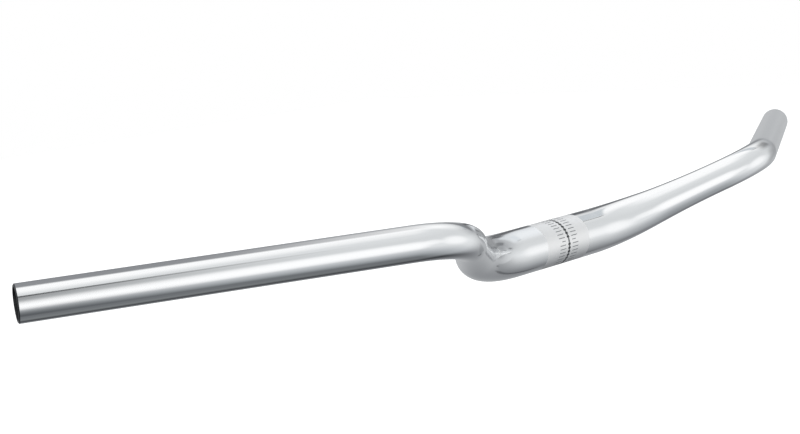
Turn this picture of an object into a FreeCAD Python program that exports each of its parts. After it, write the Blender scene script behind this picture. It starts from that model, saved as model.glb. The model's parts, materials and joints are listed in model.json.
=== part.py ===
import FreeCAD, Part
import math
import os

Vector = FreeCAD.Vector

# Handlebar for a bicycle: one bent tube, swaged thin from the clamp out to the grips.
# Millimetres and degrees. The clamp's centre is the origin, +X along the clamp, +Y forward, +Z up.
overall_width = 800.0  # between the centres of the two open ends
backsweep = 27.5  # degrees that each grip turns back from the clamp's line
rise = 36.0  # height of the grips above the clamp's line
forward = 68.0  # how far the leg runs ahead of the clamp's line
leg_side = 89.0  # how far the leg runs sideways
clamp_straight = 84.0  # straight stretch in the middle that a stem holds
knee_bend = 98.0  # centre-line radius of the bend from the clamp into the leg
shoulder_bend = 52.0  # centre-line radius of the bend from the leg into the grip
clamp_diameter = 31.8  # outside, along the clamp's straight stretch
grip_diameter = 22.2  # outside, along the second bend and the grip
clamp_wall = 2.3  # wall at the clamp, butted
grip_wall = 1.8  # wall at the grips
edge_break = 0.6  # bevel on the rims of the open ends
taper_steps = 8  # circles along the tapering bend, and points along the tapering leg's side

# Directions of the three straight runs on the +X side
clamp_way = Vector(1, 0, 0)
leg_run = Vector(leg_side, forward, rise)
leg_way = leg_run / leg_run.Length
sweep = math.radians(backsweep)
grip_way = Vector(math.cos(sweep), -math.sin(sweep), 0)

# Each bend lies in the plane of the two runs that it joins
knee_axis = clamp_way.cross(leg_way).normalize()
knee_turn = clamp_way.getAngle(leg_way)
shoulder_axis = leg_way.cross(grip_way).normalize()
shoulder_turn = leg_way.getAngle(grip_way)

# Lengths along the centre line, and the taper from the clamp's size to the grip's
knee_setback = knee_bend * math.tan(knee_turn / 2)
shoulder_setback = shoulder_bend * math.tan(shoulder_turn / 2)
knee_length = knee_bend * knee_turn
leg_length = leg_run.Length - knee_setback - shoulder_setback
taper_length = knee_length + leg_length

# Points where the runs and bends meet
knee_start = clamp_way * (clamp_straight / 2)
knee_centre = knee_start + knee_axis.cross(clamp_way) * knee_bend
leg_start = knee_start + (clamp_way + leg_way) * knee_setback
shoulder_start = leg_start + leg_way * leg_length
shoulder_centre = shoulder_start + shoulder_axis.cross(leg_way) * shoulder_bend
grip_start = shoulder_start + (leg_way + grip_way) * shoulder_setback
grip_length = (overall_width / 2 - grip_start.x) / grip_way.x
grip_end = grip_start + grip_way * grip_length


def across(point):
    # The same point on the other side of the bar
    return Vector(-point.x, point.y, point.z)


def radius_at(distance, clamp_radius, grip_radius):
    # The taper eases in from the clamp and eases out again into the second bend
    share = distance / taper_length
    if share < 0.5:
        eased = 2 * share**2
    else:
        eased = 1 - 2 * (1 - share) ** 2
    return clamp_radius + (grip_radius - clamp_radius) * eased


def ring(centre, way, radius, start_way):
    # A circle round the centre line, its seam always on the same side so that no run twists
    circle = Part.Circle(centre, way, radius)
    circle.XAxis = start_way
    return Part.Wire([circle.toShape()])


def tapering_bend(clamp_radius, grip_radius):
    rings = []
    for step in range(taper_steps):
        angle = knee_turn * step / (taper_steps - 1)
        turn = FreeCAD.Rotation(knee_axis, math.degrees(angle))
        centre = knee_centre + turn.multVec(knee_start - knee_centre)
        radius = radius_at(knee_bend * angle, clamp_radius, grip_radius)
        rings.append(ring(centre, turn.multVec(clamp_way), radius, knee_axis))
    return Part.makeLoft(rings, True, False, False, 3)


def tapering_leg(clamp_radius, grip_radius):
    # The leg is straight, so its side is a curve turned about the centre line
    side = []
    for step in range(taper_steps):
        along = leg_length * step / (taper_steps - 1)
        radius = radius_at(knee_length + along, clamp_radius, grip_radius)
        side.append(leg_start + leg_way * along + knee_axis * radius)
    curve = Part.BSplineCurve()
    curve.interpolate(side)
    outline = [
        Part.makeLine(leg_start, side[0]),
        curve.toShape(),
        Part.makeLine(side[-1], shoulder_start),
        Part.makeLine(shoulder_start, leg_start),
    ]
    return Part.Face(Part.Wire(outline)).revolve(leg_start, leg_way, 360)


def shoulder(radius):
    section = Part.Face(ring(shoulder_start, leg_way, radius, shoulder_axis))
    return section.revolve(shoulder_centre, shoulder_axis, math.degrees(shoulder_turn))


def rod(clamp_radius, grip_radius, grip_run):
    # A solid bar of the given radii: the clamp's straight stretch and an arm to each side
    clamp = Part.makeCylinder(clamp_radius, clamp_straight, across(knee_start), clamp_way)
    arm = [
        tapering_bend(clamp_radius, grip_radius),
        tapering_leg(clamp_radius, grip_radius),
        shoulder(grip_radius),
        Part.makeCylinder(grip_radius, grip_run, grip_start, grip_way),
    ]
    other_arm = [piece.mirror(Vector(0, 0, 0), clamp_way) for piece in arm]
    return clamp.multiFuse(arm + other_arm)


def handlebar():
    outside = rod(clamp_diameter / 2, grip_diameter / 2, grip_length)
    past_the_end = grip_length + grip_diameter
    inside = rod(clamp_diameter / 2 - clamp_wall, grip_diameter / 2 - grip_wall, past_the_end)
    tube = outside.cut(inside)
    rims = []
    for end in (grip_end, across(grip_end)):
        rims += [edge for edge in tube.Edges if edge.CenterOfMass.distanceToPoint(end) < edge_break / 10]
    return tube.makeChamfer(edge_break, rims)


bar = handlebar()
os.makedirs("parts", exist_ok=True)
bar.exportStep("parts/handlebar.step")
print("grip", round(grip_length, 3), "leg", round(leg_length, 3), "volume", round(bar.Volume, 1))
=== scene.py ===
import json
import math

import bmesh
import bpy
from mathutils import Matrix, Vector


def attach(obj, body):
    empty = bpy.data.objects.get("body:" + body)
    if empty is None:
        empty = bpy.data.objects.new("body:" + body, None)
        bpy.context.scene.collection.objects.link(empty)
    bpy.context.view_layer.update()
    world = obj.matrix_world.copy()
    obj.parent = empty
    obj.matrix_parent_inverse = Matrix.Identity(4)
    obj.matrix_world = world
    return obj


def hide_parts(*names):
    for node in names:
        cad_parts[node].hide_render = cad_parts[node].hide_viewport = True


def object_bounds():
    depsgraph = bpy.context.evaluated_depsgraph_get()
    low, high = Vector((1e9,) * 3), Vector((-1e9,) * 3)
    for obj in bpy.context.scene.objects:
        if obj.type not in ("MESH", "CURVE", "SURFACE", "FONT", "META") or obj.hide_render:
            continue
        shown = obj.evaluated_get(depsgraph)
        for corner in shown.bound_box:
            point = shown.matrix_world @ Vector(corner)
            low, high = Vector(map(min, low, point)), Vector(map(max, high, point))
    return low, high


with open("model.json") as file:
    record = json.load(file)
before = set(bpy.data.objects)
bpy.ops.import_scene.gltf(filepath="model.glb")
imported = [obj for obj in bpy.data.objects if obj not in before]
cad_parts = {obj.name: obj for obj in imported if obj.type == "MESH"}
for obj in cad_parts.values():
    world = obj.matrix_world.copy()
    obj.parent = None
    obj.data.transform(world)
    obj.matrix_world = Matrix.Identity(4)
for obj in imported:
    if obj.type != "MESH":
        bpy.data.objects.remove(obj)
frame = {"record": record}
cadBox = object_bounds()  # the CAD model's box, which sets the floor's level
mounts = {mount["name"]: mount for mount in frame["record"]["mounts"]}
print("frame loaded, mounts:", ", ".join(sorted(mounts)))

mm = 0.001  # this object's sizes are thought of in millimetres


def linear(hexColour):
    # sRGB hex to the linear colour that a shader socket takes
    channels = [int(hexColour[i:i + 2], 16) / 255 for i in (1, 3, 5)]
    return [c / 12.92 if c <= 0.04045 else ((c + 0.055) / 1.055) ** 2.4 for c in channels] + [1.0]


def addNode(tree, kind, settings=None, inputs=None, links=None):
    # one node: its settings, its constant inputs, and the sockets that feed it
    node = tree.nodes.new(kind)
    for name, value in (settings or {}).items():
        setattr(node, name, value)
    for name, value in (inputs or {}).items():
        node.inputs[name].default_value = value
    for name, socket in (links or {}).items():
        tree.links.new(socket, node.inputs[name])
    return node


def newMaterial(name):
    material = bpy.data.materials.new(name)
    material.use_nodes = True
    material.node_tree.nodes.clear()
    return material, material.node_tree


# Polished aluminium: the bent tube was buffed lengthwise on a cloth wheel, so it mirrors its surroundings
# softly, with faint streaks along the tube and a slight haze where the wheel pressed less.
polish = {
    "colour": "#F6F7F8",
    "roughness": 0.08,
    "hazeRoughness": 0.02,
    "hazeSize": 40 * mm,
    "streakRoughness": 0.02,
    "streakWidth": 0.9 * mm,  # real buffing lines are near 0.1 mm, drawn coarser so that they show
    "streakLength": 30 * mm,
    "noiseSpan": (0.3, 0.7),  # most of the noise's values lie in here
}


def polishedAluminium():
    material, tree = newMaterial("polished_aluminium")
    low, high = polish["noiseSpan"]
    place = addNode(tree, "ShaderNodeTexCoord")
    haze = addNode(tree, "ShaderNodeTexNoise", inputs={"Scale": 1 / polish["hazeSize"], "Detail": 2.0},
                   links={"Vector": place.outputs["Object"]})
    hazeShare = addNode(tree, "ShaderNodeMapRange",
                        inputs={"From Min": low, "From Max": high,
                                "To Min": polish["roughness"] - polish["hazeRoughness"],
                                "To Max": polish["roughness"] + polish["hazeRoughness"]},
                        links={"Value": haze.outputs["Fac"]})
    unbent = addNode(tree, "ShaderNodeAttribute", {"attribute_name": "unbentPlace"})
    fine, long = 1 / polish["streakWidth"], 1 / polish["streakLength"]
    stretch = addNode(tree, "ShaderNodeMapping", inputs={"Scale": (long, fine, fine)},
                      links={"Vector": unbent.outputs["Vector"]})
    streak = addNode(tree, "ShaderNodeTexNoise", inputs={"Scale": 1.0, "Detail": 3.0},
                     links={"Vector": stretch.outputs["Vector"]})
    streakShare = addNode(tree, "ShaderNodeMapRange",
                          inputs={"From Min": low, "From Max": high,
                                  "To Min": -polish["streakRoughness"], "To Max": polish["streakRoughness"]},
                          links={"Value": streak.outputs["Fac"]})
    roughness = addNode(tree, "ShaderNodeMath", {"operation": "ADD"},
                        links={0: hazeShare.outputs["Result"], 1: streakShare.outputs["Result"]})
    shader = addNode(tree, "ShaderNodeBsdfPrincipled",
                     inputs={"Base Color": linear(polish["colour"]), "Metallic": 1.0},
                     links={"Roughness": roughness.outputs["Value"]})
    addNode(tree, "ShaderNodeOutputMaterial", links={"Surface": shader.outputs["BSDF"]})
    return material


# Bead-blasted aluminium: fine glass beads left tiny dents, so the clamp band is an even pale grey with a
# soft sheen and no mirror image.
blast = {
    "colour": "#FEFEFE",
    "roughness": 0.48,
    "beadSize": 0.35 * mm,
    "dent": 0.012 * mm,
    "dentStrength": 0.6,
}


def blastedAluminium():
    material, tree = newMaterial("blasted_aluminium")
    place = addNode(tree, "ShaderNodeTexCoord")
    dents = addNode(tree, "ShaderNodeTexNoise", inputs={"Scale": 1 / blast["beadSize"], "Detail": 2.0},
                    links={"Vector": place.outputs["Object"]})
    bump = addNode(tree, "ShaderNodeBump",
                   inputs={"Strength": blast["dentStrength"], "Distance": blast["dent"]},
                   links={"Height": dents.outputs["Fac"]})
    shader = addNode(tree, "ShaderNodeBsdfPrincipled",
                     inputs={"Base Color": linear(blast["colour"]), "Metallic": 1.0,
                             "Roughness": blast["roughness"]},
                     links={"Normal": bump.outputs["Normal"]})
    addNode(tree, "ShaderNodeOutputMaterial", links={"Surface": shader.outputs["BSDF"]})
    return material


# Drawn aluminium: the tube's inside is as it came off the mandrel, duller than the buffed outside, with drag
# lines along it. Its dark grey is painted shade, standing in for the shade deep in the bore.
drawn = {
    # painted shade: both greys are darkened to stand in for the shade inside the bore; the lines' pattern is
    # real drag marks
    "colour": "#6C6D6F",
    "lineColour": "#4C4D4F",
    "roughness": 0.45,
    "lineWidth": 0.6 * mm,
    "lineLength": 60 * mm,
}


def drawnShadedAluminium():
    material, tree = newMaterial("drawn_aluminium_painted_shade")
    unbent = addNode(tree, "ShaderNodeAttribute", {"attribute_name": "unbentPlace"})
    fine, long = 1 / drawn["lineWidth"], 1 / drawn["lineLength"]
    stretch = addNode(tree, "ShaderNodeMapping", inputs={"Scale": (long, fine, fine)},
                      links={"Vector": unbent.outputs["Vector"]})
    lines = addNode(tree, "ShaderNodeTexNoise", inputs={"Scale": 1.0, "Detail": 2.0},
                    links={"Vector": stretch.outputs["Vector"]})
    tone = addNode(tree, "ShaderNodeMix", {"data_type": "RGBA"},
                   {6: linear(drawn["colour"]), 7: linear(drawn["lineColour"])}, {0: lines.outputs["Fac"]})
    shader = addNode(tree, "ShaderNodeBsdfPrincipled",
                     inputs={"Metallic": 1.0, "Roughness": drawn["roughness"]},
                     links={"Base Color": tone.outputs[2]})
    addNode(tree, "ShaderNodeOutputMaterial", links={"Surface": shader.outputs["BSDF"]})
    return material


# Turned aluminium: the ends were faced and deburred on a lathe after buffing, so the rim and its bevels are
# dull with fine rings round the bore. Their dark grey is painted shade, standing in for the shade on the open
# end.
turned = {
    # painted shade: both greys are darkened to stand in for the shade on the rim and bevels; the rings'
    # pattern is real lathe marks
    "colour": "#55575A",
    "ringColour": "#3E4042",
    "roughness": 0.4,
    "feed": 0.15 * mm,  # rings are about this far apart
    "ringLength": 6 * mm,
}


def turnedShadedAluminium():
    material, tree = newMaterial("turned_aluminium_painted_shade")
    unbent = addNode(tree, "ShaderNodeAttribute", {"attribute_name": "unbentPlace"})
    parts = addNode(tree, "ShaderNodeSeparateXYZ", links={"Vector": unbent.outputs["Vector"]})
    flat = addNode(tree, "ShaderNodeCombineXYZ", links={"Y": parts.outputs["Y"], "Z": parts.outputs["Z"]})
    out = addNode(tree, "ShaderNodeVectorMath", {"operation": "LENGTH"}, links={0: flat.outputs["Vector"]})
    around = addNode(tree, "ShaderNodeVectorMath", {"operation": "SCALE"},
                     {"Scale": 1 / turned["ringLength"]}, {0: flat.outputs["Vector"]})
    depth = addNode(tree, "ShaderNodeMath", {"operation": "DIVIDE"}, {1: turned["feed"]},
                    {0: out.outputs["Value"]})
    rings = addNode(tree, "ShaderNodeTexNoise", {"noise_dimensions": "4D"}, {"Scale": 1.0, "Detail": 2.0},
                    {"Vector": around.outputs["Vector"], "W": depth.outputs["Value"]})
    tone = addNode(tree, "ShaderNodeMix", {"data_type": "RGBA"},
                   {6: linear(turned["colour"]), 7: linear(turned["ringColour"])}, {0: rings.outputs["Fac"]})
    shader = addNode(tree, "ShaderNodeBsdfPrincipled",
                     inputs={"Metallic": 1.0, "Roughness": turned["roughness"]},
                     links={"Base Color": tone.outputs[2]})
    addNode(tree, "ShaderNodeOutputMaterial", links={"Surface": shader.outputs["BSDF"]})
    return material


# Laser-etched aluminium: the beam burned the blasted skin to a dry grey that hardly shines, a little uneven
# from pass to pass.
etch = {
    "ringColour": "#8E9092",
    "toothColour": "#4C4E50",
    "strokeColour": "#A3A5A7",
    "paleShare": 0.25,  # how much paler the weakest passes are
    "paleSpan": (0.45, 0.75),  # noise values between which a pass turns pale
    "roughness": 0.7,
    "passSize": 0.8 * mm,
}


def etchedAluminium(name, colour):
    material, tree = newMaterial(name)
    place = addNode(tree, "ShaderNodeTexCoord")
    passes = addNode(tree, "ShaderNodeTexNoise", inputs={"Scale": 1 / etch["passSize"], "Detail": 2.0},
                     links={"Vector": place.outputs["Object"]})
    low, high = etch["paleSpan"]
    pale = addNode(tree, "ShaderNodeMapRange",
                   inputs={"From Min": low, "From Max": high, "To Max": etch["paleShare"]},
                   links={"Value": passes.outputs["Fac"]})
    tone = addNode(tree, "ShaderNodeMix", {"data_type": "RGBA"},
                   {6: linear(colour), 7: linear(blast["colour"])}, {0: pale.outputs["Result"]})
    shader = addNode(tree, "ShaderNodeBsdfPrincipled",
                     inputs={"Metallic": 1.0, "Roughness": etch["roughness"]},
                     links={"Base Color": tone.outputs[2]})
    addNode(tree, "ShaderNodeOutputMaterial", links={"Surface": shader.outputs["BSDF"]})
    return material


polishedMetal = polishedAluminium()
blastedMetal = blastedAluminium()
drawnShadedMetal = drawnShadedAluminium()
turnedShadedMetal = turnedShadedAluminium()
ringMetal = etchedAluminium("etched_aluminium_grey", etch["ringColour"])
toothMetal = etchedAluminium("etched_aluminium_dark", etch["toothColour"])
strokeMetal = etchedAluminium("etched_aluminium_pale", etch["strokeColour"])
print("materials made")

# The bent tube. Sizes that the record's mounts don't hold are here; one side is drawn and then mirrored.
tube = {
    "legRun": Vector((89, 68, 36)) * mm,  # from the first bend's corner to the second's
    "kneeBend": 98 * mm,  # centre-line radii of the two bends
    "shoulderBend": 52 * mm,
    "clampWall": 2.3 * mm,
    "edgeBreak": 0.6 * mm,  # bevels on the open ends, outside and in the bore
    "innerBreak": 0.2 * mm,
    "bandHalf": 23.5 * mm,  # half the width of the blasted band
    "weld": 0.01 * mm,  # points this near each other become one
    "around": 128,  # points round the tube, and steps along its runs and bends
    "clampSteps": 4,
    "kneeSteps": 28,
    "legSteps": 12,
    "shoulderSteps": 32,
    "gripSteps": 16,
}
# the inside's slot holds a dark grey painted as shade for the bore
polished, blasted, shadedDrawnInside, shadedTurnedRim = 0, 1, 2, 3  # material slots of the tube


def eased(share):
    # the taper's ease: slow out of the clamp, slow into the second bend
    return 2 * share ** 2 if share < 0.5 else 1 - 2 * (1 - share) ** 2


def tubeRoute():
    # the moves that carry a ring from the bar's middle to the grip's end, each with its share of the taper
    clamp, grip = mounts["stem_clamp"], mounts["grip_right"]
    clampWay = Vector(clamp["axis"])
    gripWay = Vector(grip["axis"])
    legWay = tube["legRun"].normalized()
    kneeStart = clampWay * clamp["dims"]["length_mm"] * mm / 2
    kneeTurn = clampWay.angle(legWay)
    kneeAxis = clampWay.cross(legWay).normalized()
    kneeCentre = kneeStart + kneeAxis.cross(clampWay) * tube["kneeBend"]
    kneeSetback = tube["kneeBend"] * math.tan(kneeTurn / 2)
    shoulderTurn = legWay.angle(gripWay)
    shoulderAxis = legWay.cross(gripWay).normalized()
    shoulderSetback = tube["shoulderBend"] * math.tan(shoulderTurn / 2)
    shoulderStart = kneeStart + clampWay * kneeSetback + tube["legRun"] - legWay * shoulderSetback
    shoulderCentre = shoulderStart + shoulderAxis.cross(legWay) * tube["shoulderBend"]
    kneeLength = tube["kneeBend"] * kneeTurn
    legLength = tube["legRun"].length - kneeSetback - shoulderSetback
    gripLength = grip["dims"]["length_mm"] * mm  # up to where the bevelled rim begins

    def straight(way, length, steps, shares):
        move = Matrix.Translation(way * length / steps)
        return [(move, shares(step / steps)) for step in range(1, steps + 1)]

    def bend(centre, axis, turn, steps, shares):
        there = Matrix.Translation(centre)
        move = there @ Matrix.Rotation(turn / steps, 4, axis) @ there.inverted()
        return [(move, shares(step / steps)) for step in range(1, steps + 1)]

    def kneeShare(t):
        return eased(t * kneeLength / taper)

    def legShare(t):
        return eased((kneeLength + t * legLength) / taper)

    taper = kneeLength + legLength
    beyondBand = kneeStart.length - tube["bandHalf"]
    band = straight(clampWay, tube["bandHalf"], tube["clampSteps"], lambda t: 0.0)
    rest = straight(clampWay, beyondBand, tube["clampSteps"], lambda t: 0.0)
    rest += bend(kneeCentre, kneeAxis, kneeTurn, tube["kneeSteps"], kneeShare)
    rest += straight(legWay, legLength, tube["legSteps"], legShare)
    rest += bend(shoulderCentre, shoulderAxis, shoulderTurn, tube["shoulderSteps"], lambda t: 1.0)
    rest += straight(gripWay, gripLength, tube["gripSteps"], lambda t: 1.0)
    return band, rest, gripWay


def middleOf(verts):
    return sum((vert.co for vert in verts), Vector()) / len(verts)


def extrudeRing(bm, ring, move, radius, slot):
    # pulls the ring of edges on by one move and sets its new radius
    grown = bmesh.ops.extrude_edge_only(bm, edges=ring)["geom"]
    verts = [part for part in grown if isinstance(part, bmesh.types.BMVert)]
    edges = [part for part in grown if isinstance(part, bmesh.types.BMEdge)]
    for face in (part for part in grown if isinstance(part, bmesh.types.BMFace)):
        face.material_index = slot
        face.smooth = True
    before = middleOf(verts)
    bmesh.ops.transform(bm, matrix=move, verts=verts)
    centre = middleOf(verts)
    factor = radius / (verts[0].co - centre).length
    bmesh.ops.scale(bm, vec=(factor,) * 3, space=Matrix.Translation(-centre), verts=verts)
    # the place that each point would have if the tube were unbent, for patterns that follow the tube
    unbent = bm.verts.layers.float_vector["unbentPlace"]
    for vert in verts:
        vert[unbent] = vert[unbent] + Vector(((centre - before).length, 0, 0))
    return edges


def handlebarTube():
    bm = bmesh.new()
    band, rest, gripWay = tubeRoute()
    clampRadius = mounts["stem_clamp"]["dims"]["r_mm"] * mm
    gripRadius = mounts["grip_right"]["dims"]["r_mm"] * mm
    boreRadius = mounts["end_bore_right"]["dims"]["r_mm"] * mm
    clampBore = clampRadius - tube["clampWall"]
    edge = tube["edgeBreak"]
    innerEdge = tube["innerBreak"]

    def outside(share):
        return clampRadius + (gripRadius - clampRadius) * share

    def inside(share):
        return clampBore + (boreRadius - clampBore) * share

    unbent = bm.verts.layers.float_vector.new("unbentPlace")
    facingX = Matrix.Rotation(math.pi / 2, 4, "Y")
    bmesh.ops.create_circle(bm, segments=tube["around"], radius=clampRadius, matrix=facingX)
    for vert in bm.verts:
        vert[unbent] = vert.co
    ring = bm.edges[:]
    for move, share in band:
        ring = extrudeRing(bm, ring, move, outside(share), blasted)
    for move, share in rest:
        ring = extrudeRing(bm, ring, move, outside(share), polished)

    # the open end: a bevel, the rim's face and a bevel into the bore
    sharpRings = [ring]
    outward = Matrix.Translation(gripWay * edge)
    # the open end's bevels and rim take the turned metal, whose dark grey is painted shade
    ring = extrudeRing(bm, ring, outward, gripRadius - edge, shadedTurnedRim)
    sharpRings.append(ring)
    ring = extrudeRing(bm, ring, Matrix(), boreRadius + innerEdge, shadedTurnedRim)
    sharpRings.append(ring)
    inward = Matrix.Translation(-gripWay * innerEdge)
    ring = extrudeRing(bm, ring, inward, boreRadius, shadedTurnedRim)
    sharpRings.append(ring)

    # back along the inside to the middle
    ring = extrudeRing(bm, ring, Matrix.Translation(-gripWay * (edge - innerEdge)), boreRadius, shadedDrawnInside)
    steps = band + rest
    for step in range(len(steps) - 1, -1, -1):
        share = steps[step - 1][1] if step else 0.0
        ring = extrudeRing(bm, ring, steps[step][0].inverted(), inside(share), shadedDrawnInside)
    for sharpRing in sharpRings:
        for sharpEdge in sharpRing:
            sharpEdge.smooth = False
    bmesh.ops.mirror(bm, geom=bm.verts[:] + bm.edges[:] + bm.faces[:], merge_dist=tube["weld"], axis="X")
    bmesh.ops.remove_doubles(bm, verts=bm.verts, dist=tube["weld"])
    bmesh.ops.recalc_face_normals(bm, faces=bm.faces)
    return bm


def finishPiece(bm, name, materials):
    mesh = bpy.data.meshes.new(name)
    bm.to_mesh(mesh)
    bm.free()
    for material in materials:
        mesh.materials.append(material)
    piece = bpy.data.objects.new(name, mesh)
    bpy.context.scene.collection.objects.link(piece)
    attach(piece, "root")
    return piece


bar = finishPiece(handlebarTube(), "handlebar_tube", [polishedMetal, blastedMetal, drawnShadedMetal, turnedShadedMetal])
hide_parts("handlebar")
print("tube made:", len(bar.data.polygons), "faces")

# Etched marks on the clamp band: a ring at the bar's middle and a row of strokes on each side of it
marks = {
    "ringWidth": 1.6 * mm,
    "strokeCount": 38,
    "strokeTurn": -1.0,  # degrees: where the row of strokes starts
    "strokeWidth": 0.6 * mm,
    "strokeNear": 3.7 * mm,  # from the ring's middle to a stroke's near and far end
    "strokeFar": 10.2 * mm,
    "shortStroke": 4 * mm,
    "shortIndex": 1,  # which stroke of the row is the short one
    "toothLength": 2.7 * mm,  # dark teeth on the ring, one at each long stroke
    "toothWidth": 1.25 * mm,
    "toothProud": 0.03 * mm,
    "proud": 0.02 * mm,
    "depth": 0.15 * mm,
    "weld": 0.001 * mm,
}


def addStroke(bm, start, end, width, turn, proud):
    # one thin block on the clamp's skin, from start to end along the bar
    radius = mounts["stem_clamp"]["dims"]["r_mm"] * mm
    height = proud + marks["depth"]
    place = Matrix.Rotation(turn, 4, "X") @ Matrix.Translation(
        ((start + end) / 2, radius + proud - height / 2, 0))
    size = Matrix.Diagonal((end - start, height, width, 1))
    bmesh.ops.create_cube(bm, size=1, matrix=place @ size)


def centreRing():
    bm = bmesh.new()
    radius = mounts["stem_clamp"]["dims"]["r_mm"] * mm
    half = marks["ringWidth"] / 2
    corner = bmesh.ops.create_vert(bm, co=(-half, radius - marks["depth"], 0))["vert"]
    side = bmesh.ops.extrude_vert_indiv(bm, verts=corner)
    bmesh.ops.translate(bm, vec=(2 * half, 0, 0), verts=side["verts"])
    wall = bmesh.ops.extrude_edge_only(bm, edges=side["edges"])["geom"]
    bmesh.ops.translate(bm, vec=(0, marks["proud"] + marks["depth"], 0),
                        verts=[part for part in wall if isinstance(part, bmesh.types.BMVert)])
    bmesh.ops.delete(bm, geom=bm.faces[:], context="FACES_ONLY")
    bmesh.ops.spin(bm, geom=bm.verts[:] + bm.edges[:], cent=(0, 0, 0), axis=(1, 0, 0), angle=2 * math.pi,
                   steps=tube["around"], use_merge=True)
    bmesh.ops.remove_doubles(bm, verts=bm.verts, dist=marks["weld"])
    bmesh.ops.recalc_face_normals(bm, faces=bm.faces)
    return bm


def strokeTurns():
    # each stroke's turn round the bar, and whether it is the short one
    step = 2 * math.pi / marks["strokeCount"]
    first = math.radians(marks["strokeTurn"])
    return [(first + index * step, index == marks["shortIndex"]) for index in range(marks["strokeCount"])]


def angleStrokes():
    bm = bmesh.new()
    for turn, short in strokeTurns():
        length = marks["shortStroke"] if short else marks["strokeFar"] - marks["strokeNear"]
        for side in (-1, 1):
            near = side * marks["strokeNear"]
            addStroke(bm, near, near + side * length, marks["strokeWidth"], turn, marks["proud"])
    bmesh.ops.recalc_face_normals(bm, faces=bm.faces)
    return bm


def ringTeeth():
    bm = bmesh.new()
    half = marks["toothLength"] / 2
    for turn, short in strokeTurns():
        if not short:
            addStroke(bm, -half, half, marks["toothWidth"], turn, marks["toothProud"])
    bmesh.ops.recalc_face_normals(bm, faces=bm.faces)
    return bm


finishPiece(centreRing(), "centre_ring", [ringMetal])
finishPiece(ringTeeth(), "ring_teeth", [toothMetal])
finishPiece(angleStrokes(), "angle_strokes", [strokeMetal])
print("marks made")

# Studio: white overhead, a pale front wall with three soft lamps on it, a greyer wall behind with two soft
# shades, and dark below
studio = {
    "floorDrop": 0.42,  # metres below the bar
    "floorSize": 12.0,
    "floorColour": "#F7F7F7",
    "floorRoughness": 0.8,
    "floorGlow": 0.5,
    "backdrop": "#FFFFFF",
    "strength": 1.075,
    # elevation in degrees and the wall's tone there
    "frontWall": [(-90, "#717477"), (-68, "#6C6F72"), (-56, "#989C9F"), (-40, "#BABDC0"), (-20, "#DEE0E1"),
                  (-4, "#E5E7E8"), (12, "#D7D9DA"), (30, "#D3D5D6"), (56, "#DCDEDF"), (76, "#FBFBFB")],
    "backWall": [(-90, "#717477"), (-75, "#797C7E"), (-57, "#37393C"), (-35, "#87898C"), (-12, "#B5B7B9"),
                 (4, "#B8BABC"), (15, "#A2A4A7"), (24, "#BABCBE"), (36, "#EDEEEE"), (46, "#FDFDFD")],
    "frontHeading": 15,  # degrees from straight ahead, and the half-widths where the front wall ends
    "frontReach": (74, 114),
    # soft lamps and shades on the walls: heading, elevation and reach in degrees, tone and strength
    "spots": [(17, -6, 31, "#FFFFFF", 1.0), (-10, 3, 16, "#FFFFFF", 0.6), (-40, 0, 24, "#FFFFFF", 0.75),
              (125, -15, 50, "#2A2C2F", 0.85), (-98, 0, 15, "#505256", 0.35)],
}


def spotWay(heading, elevation):
    heading, elevation = math.radians(heading), math.radians(elevation)
    return Vector((math.sin(heading) * math.cos(elevation), math.cos(heading) * math.cos(elevation),
                   math.sin(elevation)))


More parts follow.
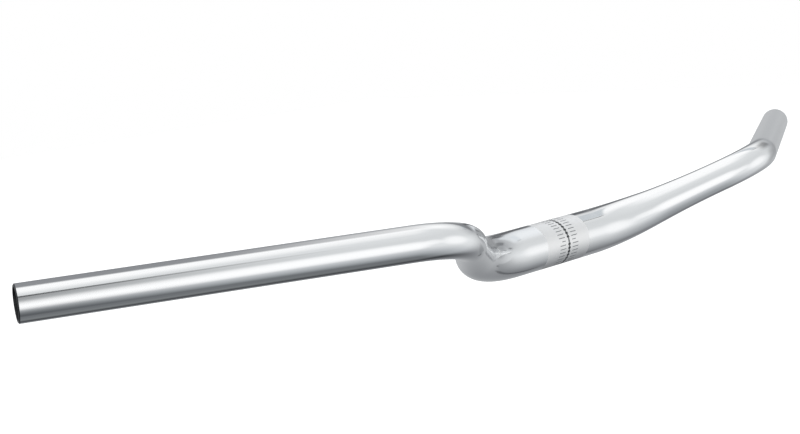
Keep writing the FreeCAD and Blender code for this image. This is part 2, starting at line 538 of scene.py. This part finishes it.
def studioWorld():
    world = bpy.data.worlds.new("studio")
    world.use_nodes = True
    tree = world.node_tree
    tree.nodes.clear()
    way = addNode(tree, "ShaderNodeTexCoord")
    parts = addNode(tree, "ShaderNodeSeparateXYZ", links={"Vector": way.outputs["Generated"]})
    rise = addNode(tree, "ShaderNodeMath", {"operation": "ARCSINE"}, links={0: parts.outputs["Z"]})
    riseShare = addNode(tree, "ShaderNodeMapRange",
                        inputs={"From Min": -math.pi / 2, "From Max": math.pi / 2},
                        links={"Value": rise.outputs["Value"]})

    def wall(levels):
        ramp = addNode(tree, "ShaderNodeValToRGB", links={"Fac": riseShare.outputs["Result"]})
        stops = ramp.color_ramp.elements
        for index, (level, colour) in enumerate(levels):
            spot = (level + 90) / 180
            stop = stops[index] if index < 2 else stops.new(spot)
            stop.position = spot
            stop.color = linear(colour)
        return ramp.outputs["Color"]

    # how far the direction turns away from the front wall's middle
    level = addNode(tree, "ShaderNodeVectorMath", {"operation": "MULTIPLY"}, {1: (1.0, 1.0, 0.0)},
                    {0: way.outputs["Generated"]})
    flat = addNode(tree, "ShaderNodeVectorMath", {"operation": "NORMALIZE"},
                   links={0: level.outputs["Vector"]})
    ahead = addNode(tree, "ShaderNodeVectorMath", {"operation": "DOT_PRODUCT"},
                    {1: spotWay(studio["frontHeading"], 0)}, {0: flat.outputs["Vector"]})
    near, far = [math.cos(math.radians(reach)) for reach in studio["frontReach"]]
    behind = addNode(tree, "ShaderNodeMapRange", {"interpolation_type": "SMOOTHSTEP"},
                     {"From Min": near, "From Max": far}, {"Value": ahead.outputs["Value"]})
    walls = addNode(tree, "ShaderNodeMix", {"data_type": "RGBA"},
                    links={"Factor": behind.outputs["Result"], 6: wall(studio["frontWall"]),
                           7: wall(studio["backWall"])})
    colour = walls.outputs[2]
    for heading, elevation, reach, tone, strength in studio["spots"]:
        facing = addNode(tree, "ShaderNodeVectorMath", {"operation": "DOT_PRODUCT"},
                         {1: spotWay(heading, elevation)}, {0: way.outputs["Generated"]})
        share = addNode(tree, "ShaderNodeMapRange", {"interpolation_type": "SMOOTHSTEP"},
                        {"From Min": math.cos(math.radians(reach)), "From Max": 1.0, "To Max": strength},
                        {"Value": facing.outputs["Value"]})
        mixed = addNode(tree, "ShaderNodeMix", {"data_type": "RGBA"}, {7: linear(tone)},
                        {0: share.outputs["Result"], 6: colour})
        colour = mixed.outputs[2]
    light = addNode(tree, "ShaderNodeBackground", inputs={"Strength": studio["strength"]},
                    links={"Color": colour})
    plain = addNode(tree, "ShaderNodeBackground",
                    inputs={"Color": linear(studio["backdrop"]), "Strength": 1.0})
    path = addNode(tree, "ShaderNodeLightPath")
    seen = addNode(tree, "ShaderNodeMixShader",
                   links={0: path.outputs["Is Camera Ray"], 1: light.outputs["Background"],
                          2: plain.outputs["Background"]})
    addNode(tree, "ShaderNodeOutputWorld", links={"Surface": seen.outputs["Shader"]})
    bpy.context.scene.world = world


# Flags: soft cards hung round the grips and the clamp, dark or pale, as a photographer hangs them to draw
# lines and shades in polished metal. Only the metal's mirror image shows them.
flags = {
    "steps": 12,
    # distance: metres from the mount's axis
    # angles: degrees round that axis, 90 up and 0 ahead, or 0 behind at the left-hand grip
    # along: metres from the clamp's right-hand end to the left, or from a grip's outer end inwards
    # soft and fade: the shares of the angle and the metres over which the card's edges thin out
    "cards": [
        {"name": "line_flag", "round": "grip_right", "distance": 0.3, "angles": (38, 49),
         "soft": (0.4, 0.2), "along": (-0.1, 0.3), "fade": (0.02, 0.36), "tone": "#202226", "cover": 0.95},
        {"name": "grey_flag", "round": "grip_right", "distance": 0.31, "angles": (-10, 49),
         "soft": (0.8, 0.08), "along": (-0.1, 0.3), "fade": (0.02, 0.36), "tone": "#44464A", "cover": 0.68},
        {"name": "back_flag", "round": "grip_right", "distance": 0.3, "angles": (97, 200),
         "soft": (0.15, 0.2), "along": (-0.1, 0.46), "fade": (0.02, 0.33), "tone": "#86888C", "cover": 0.95},
        {"name": "low_flag", "round": "grip_right", "distance": 0.3, "angles": (-82, -8),
         "soft": (0.3, 0.65), "along": (-0.1, 0.24), "fade": (0.02, 0.28), "tone": "#2E3136", "cover": 0.72},
        {"name": "top_flag_right", "round": "stem_clamp", "distance": 0.15, "angles": (134, 172),
         "soft": (0.3, 0.3), "along": (0.12, 0.2), "fade": (0.05, 0.02), "tone": "#4A4C50", "cover": 0.8},
        {"name": "top_flag_left", "round": "stem_clamp", "distance": 0.3, "angles": (128, 168),
         "soft": (0.3, 0.3), "along": (0.395, 0.48), "fade": (0.025, 0.025), "tone": "#4A4C50", "cover": 0.8},
        {"name": "panel_left", "round": "stem_clamp", "distance": 0.3, "angles": (76, 120),
         "soft": (0.05, 0.25), "along": (0.38, 0.48), "fade": (0.03, 0.025),
         "tone": "#C2C8CD", "cover": 0.85},
        {"name": "panel_edge", "round": "stem_clamp", "distance": 0.3, "angles": (71, 77),
         "soft": (0.4, 0.4), "along": (0.38, 0.48), "fade": (0.03, 0.025), "tone": "#606366", "cover": 0.7},
        {"name": "pale_card", "round": "stem_clamp", "distance": 0.09, "angles": (52, 137),
         "soft": (0.35, 0.15), "along": (0.07, 0.155), "fade": (0.02, 0.025),
         "tone": "#EEF2F6", "cover": 0.6},
        {"name": "clamp_low", "round": "stem_clamp", "distance": 0.09, "angles": (-97, -3),
         "soft": (0.1, 0.6), "along": (0.06, 0.24), "fade": (0.03, 0.05), "tone": "#6A6D70", "cover": 0.33},
        {"name": "low_line_right", "round": "stem_clamp", "distance": 0.09, "angles": (-98, -88),
         "soft": (0.3, 0.3), "along": (0.05, 0.115), "fade": (0.02, 0.02), "tone": "#2C2E31", "cover": 0.6},
        {"name": "low_line_left", "round": "stem_clamp", "distance": 0.09, "angles": (-98, -88),
         "soft": (0.3, 0.3), "along": (0.145, 0.2), "fade": (0.015, 0.03), "tone": "#2C2E31", "cover": 0.45},
        {"name": "knee_shade", "round": "stem_clamp", "distance": 0.09, "angles": (138, 215),
         "soft": (0.25, 0.35), "along": (0.08, 0.38), "fade": (0.04, 0.08), "tone": "#505256", "cover": 0.45},
        {"name": "far_shade", "round": "stem_clamp", "distance": 0.12, "angles": (100, 160),
         "soft": (0.2, 0.3), "along": (0.25, 0.48), "fade": (0.05, 0.12), "tone": "#505256", "cover": 0.55},
        {"name": "right_shade", "round": "stem_clamp", "distance": 0.105, "angles": (45, 120),
         "soft": (0.25, 0.2), "along": (-0.03, 0.1), "fade": (0.03, 0.03), "tone": "#505256", "cover": 0.6},
        {"name": "left_shade", "round": "grip_left", "distance": 0.045, "angles": (92, 150),
         "soft": (0.4, 0.4), "along": (0.165, 0.238), "fade": (0.03, 0.03), "tone": "#303236", "cover": 0.6},
        {"name": "bend_side", "round": "grip_left", "distance": 0.05, "angles": (150, 225),
         "soft": (0.3, 0.4), "along": (0.15, 0.225), "fade": (0.03, 0.03), "tone": "#505256", "cover": 0.35},
    ],
}


def flagMesh(card):
    # one curved card, its map holding the share across it and the metres along it
    mount = mounts[card["round"]]
    way = Vector(mount["axis"])
    end = Vector(mount["pos_m"]) + way * mount["dims"]["length_mm"] * mm / 2
    up = Vector((0, 0, 1))
    ahead = up.cross(way)
    low, high = card["angles"]
    arm = ahead * math.cos(math.radians(low)) + up * math.sin(math.radians(low))
    bm = bmesh.new()
    corner = bmesh.ops.create_vert(bm, co=end + arm * card["distance"] - way * card["along"][0])["vert"]
    side = bmesh.ops.extrude_vert_indiv(bm, verts=corner)
    bmesh.ops.translate(bm, vec=way * (card["along"][0] - card["along"][1]), verts=side["verts"])
    bmesh.ops.spin(bm, geom=bm.verts[:] + bm.edges[:], cent=end, axis=way, angle=math.radians(high - low),
                   steps=flags["steps"])
    layer = bm.loops.layers.uv.new("cardMap")
    for face in bm.faces:
        for loop in face.loops:
            out = loop.vert.co - end
            angle = math.degrees(math.atan2(out.dot(up), out.dot(ahead)))
            fromEdge = (angle - low + 90) % 360 - 90
            loop[layer].uv = (fromEdge / (high - low), -out.dot(way))
    mesh = bpy.data.meshes.new(card["name"])
    bm.to_mesh(mesh)
    bm.free()
    return mesh


def flagCloth(card):
    # cloth of one tone that thins out to nothing at the card's four edges
    material, tree = newMaterial(card["name"] + "_cloth")
    spot = addNode(tree, "ShaderNodeUVMap", {"uv_map": "cardMap"})
    parts = addNode(tree, "ShaderNodeSeparateXYZ", links={"Vector": spot.outputs["UV"]})
    first, last = card["along"]
    edges = [("X", 0.0, card["soft"][0]), ("X", 1.0, 1.0 - card["soft"][1]),
             ("Y", first, first + card["fade"][0]), ("Y", last, last - card["fade"][1])]
    solid = None
    for axis, clearAt, solidAt in edges:
        ramp = addNode(tree, "ShaderNodeMapRange", {"interpolation_type": "SMOOTHSTEP"},
                       {"From Min": clearAt, "From Max": solidAt, "To Max": 1.0 if solid else card["cover"]},
                       {"Value": parts.outputs[axis]}).outputs["Result"]
        if solid:
            ramp = addNode(tree, "ShaderNodeMath", {"operation": "MULTIPLY"},
                           links={0: solid, 1: ramp}).outputs["Value"]
        solid = ramp
    clear = addNode(tree, "ShaderNodeBsdfTransparent")
    cloth = addNode(tree, "ShaderNodeEmission", inputs={"Color": linear(card["tone"]), "Strength": 1.0})
    mixed = addNode(tree, "ShaderNodeMixShader",
                    links={0: solid, 1: clear.outputs["BSDF"], 2: cloth.outputs["Emission"]})
    addNode(tree, "ShaderNodeOutputMaterial", links={"Surface": mixed.outputs["Shader"]})
    return material


def flagCards():
    for card in flags["cards"]:
        flag = bpy.data.objects.new(card["name"], flagMesh(card))
        flag.data.materials.append(flagCloth(card))
        bpy.context.scene.collection.objects.link(flag)
        flag.visible_camera = False
        flag.visible_diffuse = False
        flag.visible_shadow = False


def paleFloor():
    bm = bmesh.new()
    level = cadBox[0][2] - studio["floorDrop"]
    bmesh.ops.create_grid(bm, x_segments=1, y_segments=1, size=studio["floorSize"] / 2,
                          matrix=Matrix.Translation((0, 0, level)))
    mesh = bpy.data.meshes.new("floor")
    bm.to_mesh(mesh)
    bm.free()
    floor = bpy.data.objects.new("floor", mesh)
    bpy.context.scene.collection.objects.link(floor)
    material, tree = newMaterial("pale_floor")
    shader = addNode(tree, "ShaderNodeBsdfPrincipled",
                     inputs={"Base Color": linear(studio["floorColour"]),
                             "Roughness": studio["floorRoughness"],
                             "Emission Color": linear(studio["floorColour"]),
                             "Emission Strength": studio["floorGlow"]})
    addNode(tree, "ShaderNodeOutputMaterial", links={"Surface": shader.outputs["BSDF"]})
    mesh.materials.append(material)
    floor.visible_glossy = False  # the metal mirrors the dark lower wall, not the floor


# Camera: at the photograph's place, aimed at the clamp, then rolled and turned to frame the whole bar
view = {
    "azimuth": 51.844,  # degrees from straight ahead, towards the bar's +X side
    "elevation": 9.135,
    "distance": 1.15773,  # metres
    "roll": -4.717,  # degrees, as are the turn and the tilt
    "turn": 5.187,
    "tilt": 0.885,
    "lens": 74.889,  # millimetres, as is the sensor's width
    "sensor": 36.0,
    "clipEnd": 50.0,
}


def photoCamera():
    azimuth, elevation = math.radians(view["azimuth"]), math.radians(view["elevation"])
    spot = view["distance"] * Vector((math.sin(azimuth) * math.cos(elevation),
                                      math.cos(azimuth) * math.cos(elevation), math.sin(elevation)))
    data = bpy.data.cameras.new("camera")
    data.sensor_fit = "HORIZONTAL"
    data.sensor_width = view["sensor"]
    data.lens = view["lens"]
    data.clip_end = view["clipEnd"]
    camera = bpy.data.objects.new("camera", data)
    bpy.context.scene.collection.objects.link(camera)
    aim = (-spot).to_track_quat("-Z", "Y").to_matrix().to_4x4()
    framing = Matrix.Rotation(math.radians(view["roll"]), 4, "Z")
    framing @= Matrix.Rotation(math.radians(view["turn"]), 4, "Y")
    framing @= Matrix.Rotation(math.radians(view["tilt"]), 4, "X")
    camera.matrix_world = Matrix.Translation(spot) @ aim @ framing
    bpy.context.scene.camera = camera


studioWorld()
flagCards()
paleFloor()
photoCamera()
bpy.context.scene.view_settings.view_transform = "Standard"
print("studio and camera set")
